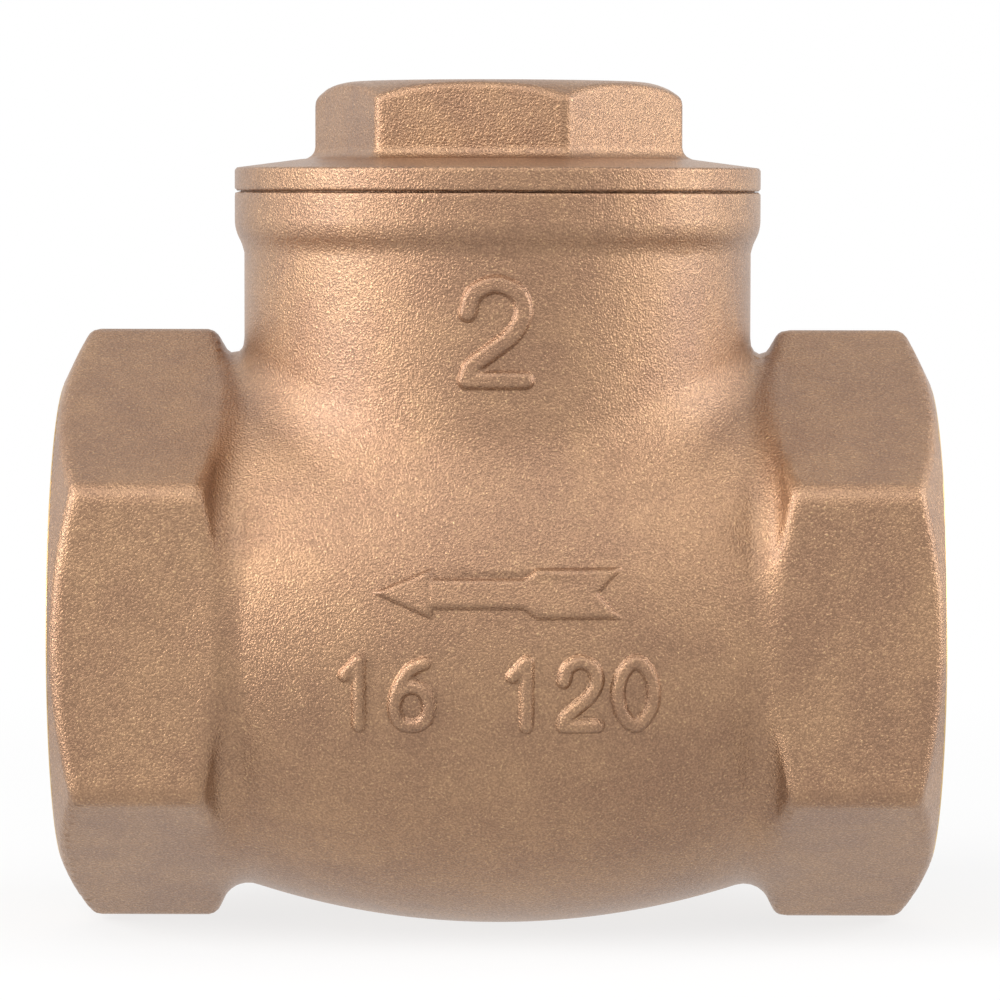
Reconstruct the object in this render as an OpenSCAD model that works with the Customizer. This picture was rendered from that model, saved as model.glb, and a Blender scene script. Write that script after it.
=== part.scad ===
/* [Pipe ends] */
// Distance from one port face to the other
port_span = 117; // [112:1:126]
// Width of the hexagonal ends across their flats
hex_af = 70.2; // [68:0.1:74]
// Round along each long edge of the hexagonal ends
hex_edge_r = 2.3; // [1:0.1:4]
// Length of a hexagonal end along its edges, from the port face to the inner chamfer
hex_len = 20; // [18:0.1:21]
// Angle of the turned chamfers of the hexagons, measured from the port face
hex_chamfer = 26; // [20:1:32]
// Radius of the flat turned ring round each port
port_face_r = 33; // [31.5:0.5:34]
// Radius of the tapping bore in each port
port_r = 28.28; // [27.5:0.02:28.8]
// Depth of the tapping bore
port_depth = 20; // [18:0.5:21]
// Radius at which the mouth of each port is chamfered
port_mouth_r = 30.2; // [29.6:0.1:31]
// Radius of the plain way behind each tapping bore
way_r = 26.5; // [24:0.5:27]
// Length of the inlet's way between its tapping bore and the funnel to the seat
funnel_off = 3; // [2:0.5:4]

/* [Body] */
// Largest radius of the belly about the flow axis
belly_r = 40.6; // [40:0.1:42]
// Radius of the long curve of the belly
belly_curve_r = 106; // [95:1:120]
// Fillet in the waist between the belly and each hexagon
waist_fillet = 3; // [2:0.5:4]
// Thickness of the belly wall
belly_wall = 3.6; // [3:0.1:4]
// Half of the chamber's length as a share of its radius, before it narrows to the outlet
chamber_share = 0.76; // [0.7:0.01:0.8]
// Radius of the neck
neck_r = 34.3; // [33.8:0.1:35]
// Thickness of the neck wall below its thread
neck_wall = 2.8; // [2.5:0.1:3]
// Height on the neck where its flare into the belly begins
flare_z = 36; // [32:1:40]
// Radius of the flare curve
flare_r = 105; // [102:1:130]
// How far the collar and the cap's flange stand out past the neck
collar_out = 1.3; // [1:0.1:2]
// Height of the collar
collar_h = 5; // [4:0.5:6]
// Height of the taper from the neck out to the collar
collar_taper = 2.6; // [2:0.2:4]
// Height of the collar's rim above the flow axis
rim_z = 58.55; // [57:0.05:60]
// Small round at the cast and turned corners
corner_r = 0.6; // [0.4:0.1:0.9]

/* [Cap] */
// Edge thickness of the cap's flange
flange_t = 3; // [2.5:0.1:4]
// Rise of the flange's cone from its edge to the hexagon
flange_rise = 1.2; // [0.8:0.1:2]
// Width of the cap's hexagon across its flats
cap_af = 44; // [42:0.2:46]
// Height of the hexagon above the flange
cap_hex_h = 10.4; // [9:0.2:12]
// Round along each upright edge of the hexagon
cap_edge_r = 1.6; // [1:0.2:3]
// Angle of the chamfer on top of the hexagon
cap_chamfer = 32; // [25:1:40]
// Turn of the hexagon about the cap's axis as it is screwed down
cap_turn = 51; // [0:1:59]
// Wall of the neck outside the cap's thread
thread_wall = 3.4; // [3.2:0.1:3.9]
// Length of the cap's threaded skirt
cap_thread_len = 10; // [8:0.5:11]
// Wall of the skirt
skirt_wall = 4.4; // [3.5:0.1:5]
// Thickness of the roof and walls of the hollow hexagon
cap_wall = 5; // [4:0.2:6]

/* [Cap gasket] */
// Thickness of the gasket
gasket_t = 1.1; // [1:0.1:1.6]
// Width of the gasket
gasket_w = 2.2; // [1.6:0.1:2.4]
// Height of the dark line that stays open between the collar and the flange
cap_gap = 0.3; // [0.2:0.05:0.4]

/* [Seat] */
// Distance of the seat from the inside of the neck on the inlet's side
seat_room = 8.5; // [7.5:0.25:9.5]
// Lean of the seat, which lets the disc lie on it by its own weight
seat_tilt = 5; // [4:0.5:6]
// Radius of the opening through the seat
seat_r = 23; // [21.5:0.25:23.5]
// Width of the flat land round that opening
seat_land = 3.5; // [3:0.25:4]
// Height of the seat ring above the wall that carries it
seat_ring_h = 2.5; // [2:0.25:3]

/* [Disc] */
// Overhang of the disc past the seat's land
disc_over = 0.5; // [0.3:0.1:0.8]
// Thickness of the disc
disc_t = 4.5; // [4:0.1:5]
// Chamfer round the back of the disc
disc_chamfer = 1.8; // [1:0.1:2.5]
// Radius of the raised boss round the stud
boss_r = 7; // [6:0.25:7.5]
// Height of that boss
boss_h = 1.2; // [0.8:0.1:1.6]
// Radius of the stud
stud_r = 4; // [3.5:0.25:4.5]
// Width of the rubber seal ring
seal_w = 4.6; // [4:0.1:5.2]
// Thickness of the seal ring
seal_t = 2.4; // [2:0.1:2.8]
// How far the seal stands out of the disc's face
seal_proud = 0.35; // [0.25:0.05:0.6]
// Width of the disc's lip outside the seal
seal_lip = 0.9; // [0.8:0.05:1.1]

/* [Disc fastening] */
// Radius of the washer
washer_r = 7.5; // [7:0.25:8.5]
// Thickness of the washer
washer_t = 1.2; // [1:0.1:1.6]
// Width of the nut across its flats
nut_af = 13; // [12:0.5:14]
// Height of the nut
nut_h = 6.4; // [5.5:0.1:7]
// Radius of the split pin's wire, both legs together
split_r = 0.8; // [0.6:0.05:1]
// Length of stud that stands past the split pin
stud_end = 2.2; // [2:0.1:3]

/* [Arm] */
// Gap between the disc's edge and the hub above it
hub_clear = 2; // [1.5:0.25:3]
// Thickness of the arm
arm_t = 6; // [5:0.25:7]
// Width of the arm at its waist
arm_w = 11; // [9:0.5:13]
// Height over which the arm narrows from the hub to its waist
arm_taper = 7; // [5:0.5:9]
// Radius of the eye that the stud passes through
eye_r = 8.5; // [8:0.25:9.5]
// Radius of the hub round the hinge pin
hub_r = 5; // [4.5:0.1:5.4]
// Length of the hub
hub_len = 18; // [16:0.5:20]
// Width of the stop on top of the hub
stop_w = 8; // [6:0.5:10]
// Height of the stop above the hub, before its face is cut to the neck
stop_h = 3; // [2.5:0.25:4]
// Swing of the arm from the seat to its stop
swing = 68; // [60:1:69]

/* [Hinge] */
// Distance of the pin from the plane of the seat, on the side of the outlet
pin_off = 1.5; // [1:0.1:2]
// Radius of the hinge pin
pin_r = 2.5; // [2.2:0.1:2.8]
// Depth to which the pin enters the far lug
pin_hold = 9; // [7:0.5:10]
// Radius of the lugs that carry the pin
lug_r = 6; // [5.5:0.1:6.4]
// Radius of the plug's thread
plug_r = 5; // [4.5:0.1:5.4]
// Radius of the boss outside that the plug screws into
plug_boss_r = 8.5; // [8:0.1:9.2]
// How far that boss stands out of the body round it
plug_stand = 2.1; // [1.5:0.1:3]
// Length of the plug's thread
plug_len = 11.5; // [10:0.25:12]
// Width of the plug's head across its flats
plug_af = 13; // [12:0.5:14]
// Height of the plug's head
plug_head = 4.6; // [4:0.2:5]
// Chamfer round the faces of the plug's head and of the nut
hex_bevel = 0.3; // [0.2:0.1:0.6]
// Thickness of the plug's sealing washer
plug_seal_t = 1.2; // [1:0.1:1.5]

/* [Clearances] */
// Gap of a thread or a turned joint, at its radius
thread_gap = 0.05; // [0.03:0.01:0.08]
// Running gap of the hinge pin, at its radius
pin_gap = 0.05; // [0.03:0.01:0.09]
// Gap between the stud and the arm's eye, at its radius
eye_gap = 0.4; // [0.2:0.05:0.6]
// Play of the arm between the disc and the washer, on each side
eye_play = 0.3; // [0.2:0.05:0.5]
// Gap between the hub and a lug
hub_gap = 0.5; // [0.3:0.05:0.8]
// Gap between the seal and the seat with the disc closed
seat_gap = 0.05; // [0.03:0.01:0.1]
// Gap left at the stop with the disc wide open
stop_gap = 0.3; // [0.2:0.05:0.5]
// Gap between the hub and the shelf below it
shelf_gap = 1; // [0.8:0.1:1.5]

/* [Hidden] */

cast_colour = [0.70, 0.53, 0.38];
turned_colour = [0.80, 0.66, 0.40];
rubber_colour = [0.08, 0.08, 0.08];
gasket_colour = [0.86, 0.84, 0.78];
steel_colour = [0.62, 0.62, 0.63];
copper_colour = [0.72, 0.42, 0.28];

// Facets for round work; every circle stays a true circle
round_fn = 96;
small_fn = 48;
// Reach of a cutting or trimming shape that has to pass right through
past = 60;
// A small overlap, so that cutting shapes pass a face cleanly
eps = 0.5;
// Lines and curves that would only touch are made to cross by this much
bite = 0.01;

// Turned outline of a hexagonal end: its chamfers, and the fillet down to the belly
half_span = port_span / 2;
mouth_depth = port_mouth_r - port_r;
hex_corner_r = hex_af / 2 / cos(30);
chamfer_slope = tan(hex_chamfer);
chamfer_x = half_span - hex_len;
belly_centre = belly_r - belly_curve_r;
// The fillet runs out a little below the belly's surface, so that the two cross
fillet_sink = 0.15;
fillet_shift = chamfer_x - hex_corner_r * chamfer_slope - (waist_fillet - bite) / cos(hex_chamfer);
fillet_qa = 1 + chamfer_slope * chamfer_slope;
fillet_qb = 2 * (fillet_shift * chamfer_slope - belly_centre);
fillet_reach = belly_curve_r + waist_fillet - fillet_sink;
fillet_qc = belly_centre * belly_centre + fillet_shift * fillet_shift - fillet_reach * fillet_reach;
fillet_c_r = (-fillet_qb + sqrt(fillet_qb * fillet_qb - 4 * fillet_qa * fillet_qc)) / (2 * fillet_qa);
fillet_c_x = fillet_shift + chamfer_slope * fillet_c_r;
belly_end_x = chamfer_x - eps;
// Root of each end inside the belly, well below its surface
root_x = half_span / 2;
root_r = way_r + belly_wall / 2;

// Heights on the bonnet axis
flange_z = rim_z + cap_gap;
cap_hex_z = flange_z + flange_t + flange_rise;
cap_top_z = cap_hex_z + cap_hex_h;
collar_r = neck_r + collar_out;
cap_thread_r = neck_r - thread_wall;
gasket_in_r = cap_thread_r + thread_gap + eps / 2;
neck_bore_r = neck_r - neck_wall;
thread_bottom_z = flange_z - cap_thread_len - 1;

// The chamber inside the belly, and the ways from it to the ports
seat_x = neck_bore_r - seat_room;
chamber_r = belly_r - belly_wall;
chamber_centre = chamber_r - belly_curve_r;
way_end_x = half_span - port_depth;
chamber_end_x = chamber_r * chamber_share;
chamber_end_r = chamber_centre + sqrt(belly_curve_r * belly_curve_r - chamber_end_x * chamber_end_x);
way_start_x = chamber_end_x + (chamber_end_r - way_r);

// Disc and fastening, as distances from the seat along the stud
seat_ring_r = seat_r + seat_land;
disc_r = seat_ring_r + disc_over;
// The chamber reaches past the seat ring on the inlet's side, also where the seat leans forward
chamber_in_x = seat_x + seat_ring_h + disc_r * sin(seat_tilt) + eps;
disc_face = seat_gap + seal_proud;
disc_back = disc_face + disc_t;
boss_face = disc_back + boss_h;
eye_face = boss_face + eye_play;
washer_face = eye_face + arm_t + eye_play;
nut_face = washer_face + washer_t;
split_at = nut_face + nut_h + split_r + 0.2;
stud_top = split_at + split_r + stud_end;
seal_r = disc_r - seal_lip;
seal_back = seat_gap + seal_t;

// Hinge, in the frame of the seat and in the frame of the bonnet axis
arm_len = disc_r + hub_clear + hub_r;
pin_x = seat_x - pin_off * cos(seat_tilt) + arm_len * sin(seat_tilt);
pin_z = pin_off * sin(seat_tilt) + arm_len * cos(seat_tilt);
lug_in = hub_len / 2 + hub_gap;
pin_end_y = -lug_in - pin_hold;
boss_x = pin_x - plug_boss_r;
boss_z = pin_z - plug_boss_r;
belly_at_boss = belly_centre + sqrt(belly_curve_r * belly_curve_r - boss_x * boss_x);
belly_side_y = sqrt(max(0, belly_at_boss * belly_at_boss - boss_z * boss_z));
neck_side_y = sqrt(max(0, neck_r * neck_r - boss_x * boss_x));
plug_face = max(belly_side_y, neck_side_y) + plug_stand;
plug_in = plug_face - plug_len;
pin_top_y = plug_in - hub_gap;
shelf_z = arm_len - hub_r - shelf_gap;

// Stop: a face on the hub that lies flat against the neck when the disc is wide open
stop_wall_x = sqrt(neck_bore_r * neck_bore_r - stop_w * stop_w / 4);
stop_reach = stop_wall_x - pin_x - stop_gap;
stop_lean = 90 - seat_tilt - swing;

// The origin is on the flow axis where the inlet's thread begins, behind the chamfer of its mouth
module at_bonnet() {
    translate([mouth_depth - half_span, 0, 0])
        children();
}

// Frame of the leaning seat: -X is the way the flow leaves, and +Z runs up the seat
module at_seat() {
    translate([seat_x, 0, 0])
        rotate([0, seat_tilt, 0])
            children();
}

module at_pin() {
    at_seat()
        translate([-pin_off, 0, arm_len])
            children();
}

// Turns an outline of radius and distance about the flow axis
module turned(fn = round_fn) {
    rotate([0, 90, 0])
        rotate_extrude($fn = fn)
            children();
}

// The same about the stud, with distances measured down the flow from the seat
module turned_on_stud(fn = round_fn) {
    rotate([0, -90, 0])
        rotate_extrude($fn = fn)
            children();
}

// Extrudes an outline drawn in X and Z across the valve
module across(width) {
    rotate([90, 0, 0])
        linear_extrude(height = width, center = true)
            children();
}

// Hexagon of a given width across flats with a true round at each corner
module round_hexagon(af, edge_r) {
    flat_r = edge_r - bite;
    centre_r = (af / 2 - flat_r) / cos(30);
    polygon([for (k = [0:5], side = [-30, 30])
        [centre_r * cos(60 * k) + flat_r * cos(60 * k + side),
         centre_r * sin(60 * k) + flat_r * sin(60 * k + side)]]);
    for (k = [0:5])
        rotate(60 * k)
            translate([centre_r, 0])
                circle(r = edge_r, $fn = small_fn);
}

// Outline of a turned hexagonal end, from the belly out to the port face
module end_outline() {
    reach = hex_corner_r + 1;
    inside_r = waist_fillet - bite;
    arc_dx = fillet_c_x / fillet_reach;
    arc_dr = (fillet_c_r - belly_centre) / fillet_reach;
    difference() {
        polygon([
            [0, root_x],
            [root_r, root_x],
            [fillet_c_r - inside_r * arc_dr, fillet_c_x - inside_r * arc_dx],
            [fillet_c_r, fillet_c_x],
            [fillet_c_r - inside_r * sin(hex_chamfer), fillet_c_x + inside_r * cos(hex_chamfer)],
            [reach, chamfer_x + (reach - hex_corner_r) * chamfer_slope],
            [reach, half_span - (reach - port_face_r) * chamfer_slope],
            [port_face_r, half_span],
            [0, half_span]
        ]);
        translate([fillet_c_r, fillet_c_x])
            circle(r = waist_fillet, $fn = small_fn);
    }
}

module hex_end() {
    intersection() {
        turned()
            end_outline();
        rotate([0, 90, 0])
            linear_extrude(height = half_span + eps)
                round_hexagon(hex_af, hex_edge_r);
    }
}

// Long curve of the belly
module belly_outline() {
    intersection() {
        translate([belly_centre, 0])
            circle(r = belly_curve_r, $fn = 4 * round_fn);
        translate([0, -belly_end_x])
            square([belly_r + 1, 2 * belly_end_x]);
    }
}

// Neck with its flare into the belly, its taper and its collar
module neck_outline() {
    collar_z = rim_z - collar_h;
    flare_foot = neck_r + flare_r - sqrt(flare_r * flare_r - flare_z * flare_z);
    polygon([
        [0, 0],
        [neck_r, 0],
        [neck_r, collar_z - collar_taper],
        [collar_r, collar_z],
        [collar_r, rim_z - corner_r],
        [collar_r - corner_r, rim_z],
        [0, rim_z]
    ]);
    difference() {
        polygon([[0, eps], [flare_foot, eps], [neck_r + eps, flare_z], [0, flare_z]]);
        translate([neck_r + flare_r - bite, flare_z])
            circle(r = flare_r, $fn = 4 * round_fn);
    }
}

module body_outside() {
    turned()
        belly_outline();
    hex_end();
    mirror([1, 0, 0])
        hex_end();
    rotate_extrude($fn = round_fn)
        neck_outline();
    at_pin()
        rotate([-90, 0, 0])
            cylinder(r = plug_boss_r, h = plug_face, $fn = small_fn);
}

// Chamber: the hollow of the belly and of the neck, narrowing to the outlet's way
module chamber() {
    reach = chamber_r + 1;
    turned()
        intersection() {
            translate([chamber_centre, 0])
                circle(r = belly_curve_r, $fn = 4 * round_fn);
            polygon([
                [0, chamber_in_x],
                [reach, chamber_in_x],
                [reach, reach - chamber_end_r - chamber_end_x],
                [way_r, -way_start_x],
                [0, -way_start_x]
            ]);
        }
    cylinder(r = neck_bore_r, h = thread_bottom_z, $fn = round_fn);
}

// Wall across the chamber that carries the raised seat ring
module seat_wall() {
    translate([seat_ring_h, -past, -past])
        cube([past, 2 * past, past + shelf_z]);
    turned()
        square([seat_ring_r, seat_ring_h + eps]);
}

// The two lugs that carry the hinge pin, grown from the sides of the neck
module hinge_lugs() {
    lug_reach = neck_bore_r - lug_in;
    for (side = [-1, 1])
        translate([0, side * (lug_in + lug_reach / 2), 0])
            across(lug_reach) {
                circle(r = lug_r, $fn = small_fn);
                translate([0, -(arm_len - shelf_z) - eps])
                    square([past / 4, arm_len - shelf_z + eps + lug_r]);
            }
}

// The inlet's way through the seat, both ports and the outlet's way
module flow_ways() {
    at_seat()
        translate([-eps, 0, 0])
            rotate([0, 90, 0])
                cylinder(r = seat_r, h = way_end_x - seat_x, $fn = round_fn);
    translate([way_end_x - (way_r - seat_r) - funnel_off, 0, 0])
        turned()
            polygon([[0, 0], [seat_r, 0], [way_r, way_r - seat_r], [way_r, past / 4], [0, past / 4]]);
    translate([-way_end_x - eps, 0, 0])
        turned()
            square([way_r, way_end_x - chamber_end_x + eps]);
    for (side = [0, 1])
        mirror([side, 0, 0])
            turned()
                polygon([
                    [0, way_end_x],
                    [port_r, way_end_x],
                    [port_r, half_span - mouth_depth],
                    [port_mouth_r + eps, half_span + eps],
                    [0, half_span + eps]
                ]);
}

// Threaded bore for the cap, with the step that the gasket lies in
module cap_bore() {
    translate([0, 0, thread_bottom_z])
        cylinder(r = cap_thread_r + thread_gap, h = past, $fn = round_fn);
    translate([0, 0, flange_z - gasket_t])
        cylinder(r = gasket_in_r + gasket_w, h = past, $fn = round_fn);
}

// Bore for the hinge pin, blind at the front, and the plug's bore behind it
module hinge_bore() {
    translate([0, pin_end_y - hub_gap, 0])
        rotate([-90, 0, 0])
            cylinder(r = pin_r + pin_gap, h = plug_in - pin_end_y + hub_gap, $fn = small_fn);
    translate([0, plug_in - hub_gap, 0])
        rotate([-90, 0, 0])
            cylinder(r = plug_r + thread_gap, h = plug_len + 2 * hub_gap + eps, $fn = small_fn);
}

module body() {
    color(cast_colour)
        at_bonnet()
            difference() {
                body_outside();
                difference() {
                    chamber();
                    at_seat()
                        seat_wall();
                    at_pin()
                        hinge_lugs();
                }
                flow_ways();
                cap_bore();
                at_pin()
                    hinge_bore();
            }
}

// Flange, cone and threaded skirt of the cap, and the turned hollow below them
module cap_outline() {
    skirt_r = cap_thread_r - skirt_wall;
    hollow_r = cap_af / 2 - cap_wall;
    cone_r = cap_af / 2 / cos(30) + 1;
    difference() {
        polygon([
            [0, flange_z - cap_thread_len],
            [cap_thread_r - corner_r, flange_z - cap_thread_len],
            [cap_thread_r, flange_z - cap_thread_len + corner_r],
            [cap_thread_r, flange_z],
            [collar_r - corner_r / 2, flange_z],
            [collar_r, flange_z + corner_r / 2],
            [collar_r, flange_z + flange_t - corner_r],
            [collar_r - corner_r, flange_z + flange_t],
            [cone_r, cap_hex_z],
            [0, cap_hex_z]
        ]);
        polygon([
            [0, flange_z - cap_thread_len - eps],
            [skirt_r, flange_z - cap_thread_len - eps],
            [skirt_r, flange_z - corner_r],
            [hollow_r, cap_hex_z - corner_r],
            [0, cap_hex_z - corner_r]
        ]);
    }
}

// The cap's hexagon with its chamfered top
module cap_hexagon() {
    corner = cap_af / 2 / cos(30);
    rise = (corner + 1 - cap_af / 2) * tan(cap_chamfer);
    intersection() {
        translate([0, 0, cap_hex_z - flange_rise])
            rotate(cap_turn)
                linear_extrude(height = cap_hex_h + flange_rise)
                    round_hexagon(cap_af, cap_edge_r);
        rotate_extrude($fn = round_fn)
            polygon([
                [0, cap_hex_z - flange_rise],
                [corner + 1, cap_hex_z - flange_rise],
                [corner + 1, cap_top_z - rise],
                [cap_af / 2, cap_top_z],
                [0, cap_top_z]
            ]);
    }
}

module cap() {
    hollow_r = cap_af / 2 - cap_wall;
    color(cast_colour)
        at_bonnet()
            difference() {
                union() {
                    rotate_extrude($fn = round_fn)
                        cap_outline();
                    cap_hexagon();
                }
                translate([0, 0, flange_z])
                    cylinder(r = hollow_r, h = cap_top_z - cap_wall - flange_z, $fn = round_fn);
            }
}

module cap_gasket() {
    color(gasket_colour)
        at_bonnet()
            translate([0, 0, flange_z - gasket_t])
                difference() {
                    cylinder(r = gasket_in_r + gasket_w - thread_gap, h = gasket_t, $fn = round_fn);
                    translate([0, 0, -eps])
                        cylinder(r = gasket_in_r, h = gasket_t + 2 * eps, $fn = round_fn);
                }
}

// Side view of the web that leans from the hub out to the eye
module web_side() {
    near = eye_face - pin_off;
    far = near + arm_t;
    polygon([
        [0, 0],
        [-hub_r * cos(20), hub_r * sin(20)],
        [-far, -2 * hub_r],
        [-far, -arm_len],
        [-near, -arm_len],
        [-near, -hub_r - shelf_gap],
        [-hub_r * sin(20), -hub_r * cos(20)]
    ]);
}

// Front view of the web, tapering from the hub down to its waist
module web_front() {
    waist_z = hub_r + arm_taper;
    polygon([
        [-hub_len / 2, hub_r],
        [hub_len / 2, hub_r],
        [hub_len / 2, -hub_r],
        [arm_w / 2, -waist_z],
        [arm_w / 2, -arm_len],
        [-arm_w / 2, -arm_len],
        [-arm_w / 2, -waist_z],
        [-hub_len / 2, -hub_r]
    ]);
}

// Side view of the stop, whose top face meets the neck squarely when the disc is wide open
module stop_side() {
    reach = hub_r + stop_h;
    intersection() {
        translate([-hub_r * 0.6, 0])
            square([hub_r * 1.2, reach]);
        rotate(-stop_lean)
            translate([-reach, -reach])
                square([2 * reach, reach + stop_reach]);
    }
}

module arm() {
    color(turned_colour)
        at_bonnet()
            at_pin()
                difference() {
                    union() {
                        rotate([90, 0, 0])
                            cylinder(r = hub_r, h = hub_len, center = true, $fn = small_fn);
                        intersection() {
                            across(hub_len)
                                web_side();
                            rotate([90, 0, 90])
                                linear_extrude(height = past, center = true)
                                    web_front();
                        }
                        translate([pin_off - eye_face, 0, -arm_len])
                            rotate([0, -90, 0])
                                cylinder(r = eye_r, h = arm_t, $fn = small_fn);
                        across(stop_w)
                            stop_side();
                    }
                    rotate([90, 0, 0])
                        cylinder(r = pin_r + pin_gap, h = hub_len + 2 * eps, center = true, $fn = small_fn);
                    translate([0, 0, -arm_len])
                        rotate([0, -90, 0])
                            cylinder(r = stud_r + eye_gap, h = past, $fn = small_fn);
                }
}

// Disc with its seal's groove, boss and stud, and the hole for the split pin
module disc() {
    color(turned_colour)
        at_bonnet()
            at_seat()
                difference() {
                    turned_on_stud()
                        polygon([
                            [0, disc_face],
                            [seal_r - seal_w, disc_face],
                            [seal_r - seal_w, seal_back],
                            [seal_r, seal_back],
                            [seal_r, disc_face],
                            [disc_r, disc_face],
                            [disc_r, disc_back - disc_chamfer],
                            [disc_r - disc_chamfer, disc_back],
                            [boss_r + boss_h, disc_back],
                            [boss_r, boss_face],
                            [stud_r, boss_face],
                            [stud_r, stud_top - corner_r],
                            [stud_r - corner_r, stud_top],
                            [0, stud_top]
                        ]);
                    translate([-split_at, 0, 0])
                        rotate([90, 0, 0])
                            cylinder(r = split_r + thread_gap, h = 3 * stud_r, center = true, $fn = small_fn);
                }
}

module disc_seal() {
    color(rubber_colour)
        at_bonnet()
            at_seat()
                turned_on_stud()
                    translate([seal_r - seal_w, seat_gap])
                        square([seal_w, seal_t]);
}

module disc_washer() {
    color(steel_colour)
        at_bonnet()
            at_seat()
                turned_on_stud()
                    translate([stud_r + thread_gap, washer_face])
                        square([washer_r - stud_r - thread_gap, washer_t]);
}

// Hexagonal prism along the stud, with both faces chamfered
module chamfered_hexagon(af, height, chamfer_r) {
    corner = af / 2 / cos(30) + 1;
    rise = (corner - chamfer_r) * tan(30);
    intersection() {
        linear_extrude(height = height)
            rotate(30)
                circle(d = af / cos(30), $fn = 6);
        rotate_extrude($fn = small_fn)
            polygon([
                [0, 0],
                [chamfer_r, 0],
                [corner, rise],
                [corner, height - rise],
                [chamfer_r, height],
                [0, height]
            ]);
    }
}

module disc_nut() {
    color(turned_colour)
        at_bonnet()
            at_seat()
                translate([-nut_face, 0, 0])
                    rotate([0, -90, 0])
                        difference() {
                            chamfered_hexagon(nut_af, nut_h, nut_af / 2 - hex_bevel);
                            translate([0, 0, -eps])
                                cylinder(r = stud_r + thread_gap, h = nut_h + 2 * eps, $fn = small_fn);
                        }
}

// Split pin: shank through the stud, an eye at one end and two legs bent away at the other
module split_pin() {
    eye = 2 * split_r;
    shank = 2 * stud_r + 2;
    leg = stud_r;
    color(steel_colour)
        at_bonnet()
            at_seat()
                translate([-split_at, 0, 0]) {
                    rotate([90, 0, 0])
                        cylinder(r = split_r, h = shank, center = true, $fn = small_fn);
                    translate([0, shank / 2 + eye - split_r / 2, 0])
                        rotate([0, 90, 0])
                            rotate_extrude($fn = small_fn)
                                translate([eye, 0])
                                    circle(r = split_r * 0.8, $fn = small_fn);
                    translate([0, -shank / 2, 0])
                        for (side = [-1, 1])
                            rotate([90 + side * 50, 0, 0])
                                cylinder(r = split_r * 0.75, h = leg, $fn = small_fn);
                }
}

module hinge_pin() {
    color(steel_colour)
        at_bonnet()
            at_pin()
                translate([0, pin_end_y, 0])
                    rotate([-90, 0, 0])
                        rotate_extrude($fn = small_fn)
                            polygon([
                                [0, 0],
                                [pin_r - corner_r, 0],
                                [pin_r, corner_r],
                                [pin_r, pin_top_y - pin_end_y - corner_r],
                                [pin_r - corner_r, pin_top_y - pin_end_y],
                                [0, pin_top_y - pin_end_y]
                            ]);
}

module pin_plug() {
    color(turned_colour)
        at_bonnet()
            at_pin()
                rotate([-90, 0, 0]) {
                    translate([0, 0, plug_in])
                        cylinder(r = plug_r, h = plug_len + plug_seal_t + plug_head / 2, $fn = small_fn);
                    translate([0, 0, plug_face + plug_seal_t])
                        chamfered_hexagon(plug_af, plug_head, plug_af / 2 - hex_bevel);
                }
}

module plug_washer() {
    color(copper_colour)
        at_bonnet()
            at_pin()
                translate([0, plug_face, 0])
                    rotate([-90, 0, 0])
                        rotate_extrude($fn = small_fn)
                            translate([plug_r + thread_gap, 0])
                                square([plug_boss_r - corner_r - plug_r - thread_gap, plug_seal_t]);
}

body();
cap();
cap_gasket();
arm();
disc();
disc_seal();
disc_washer();
disc_nut();
split_pin();
hinge_pin();
pin_plug();
plug_washer();
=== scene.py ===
import math

import bmesh
import bpy
import numpy as np
from bpy.props import FloatProperty, FloatVectorProperty, PointerProperty
from bpy.types import Operator, Panel, PropertyGroup
from mathutils import Matrix, Vector


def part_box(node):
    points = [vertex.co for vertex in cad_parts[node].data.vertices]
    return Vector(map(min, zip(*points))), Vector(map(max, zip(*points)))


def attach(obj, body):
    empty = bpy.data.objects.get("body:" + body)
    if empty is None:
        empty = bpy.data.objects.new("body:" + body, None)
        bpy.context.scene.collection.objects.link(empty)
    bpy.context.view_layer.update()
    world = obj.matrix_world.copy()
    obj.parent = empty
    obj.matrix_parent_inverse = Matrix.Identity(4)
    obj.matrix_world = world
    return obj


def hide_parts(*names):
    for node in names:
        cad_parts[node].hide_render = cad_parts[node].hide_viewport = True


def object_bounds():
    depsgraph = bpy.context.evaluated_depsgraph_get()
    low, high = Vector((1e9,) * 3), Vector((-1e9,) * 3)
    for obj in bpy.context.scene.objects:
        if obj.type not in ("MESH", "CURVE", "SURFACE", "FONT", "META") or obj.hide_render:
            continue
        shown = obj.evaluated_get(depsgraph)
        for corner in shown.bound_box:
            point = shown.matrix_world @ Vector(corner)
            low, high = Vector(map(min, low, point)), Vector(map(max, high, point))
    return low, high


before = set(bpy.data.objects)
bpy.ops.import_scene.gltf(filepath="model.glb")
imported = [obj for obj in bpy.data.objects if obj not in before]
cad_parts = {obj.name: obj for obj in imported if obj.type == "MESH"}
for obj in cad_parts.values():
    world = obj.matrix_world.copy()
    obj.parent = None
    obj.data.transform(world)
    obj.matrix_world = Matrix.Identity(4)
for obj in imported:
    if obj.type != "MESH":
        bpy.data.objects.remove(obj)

bl_info = {
    "name": "Swing Check Valve",
    "version": (1, 0, 0),
    "blender": (4, 5, 0),
    "location": "3D View > Sidebar > Valve",
    "description": "Dresses a cast brass swing check valve and sets a small studio round it",
    "category": "Object",
}

CAD_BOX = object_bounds()
MM, TINY = 0.001, 1e-9
BODY_LOW, BODY_HIGH = (np.array(corner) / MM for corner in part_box("body"))
CAP_LOW, CAP_HIGH = (np.array(corner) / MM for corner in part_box("cap"))
# The bonnet axis in the frame, and the frame's sizes about it, in millimetres
BONNET_X = (CAP_LOW[0] + CAP_HIGH[0]) / 2
HALF_SPAN = (BODY_HIGH[0] - BODY_LOW[0]) / 2
BELLY_R = -BODY_LOW[2]
RIM_Z = BODY_HIGH[2]
CAP_TOP = CAP_HIGH[2]
COLLAR_R = (CAP_HIGH[0] - CAP_LOW[0]) / 2
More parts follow.
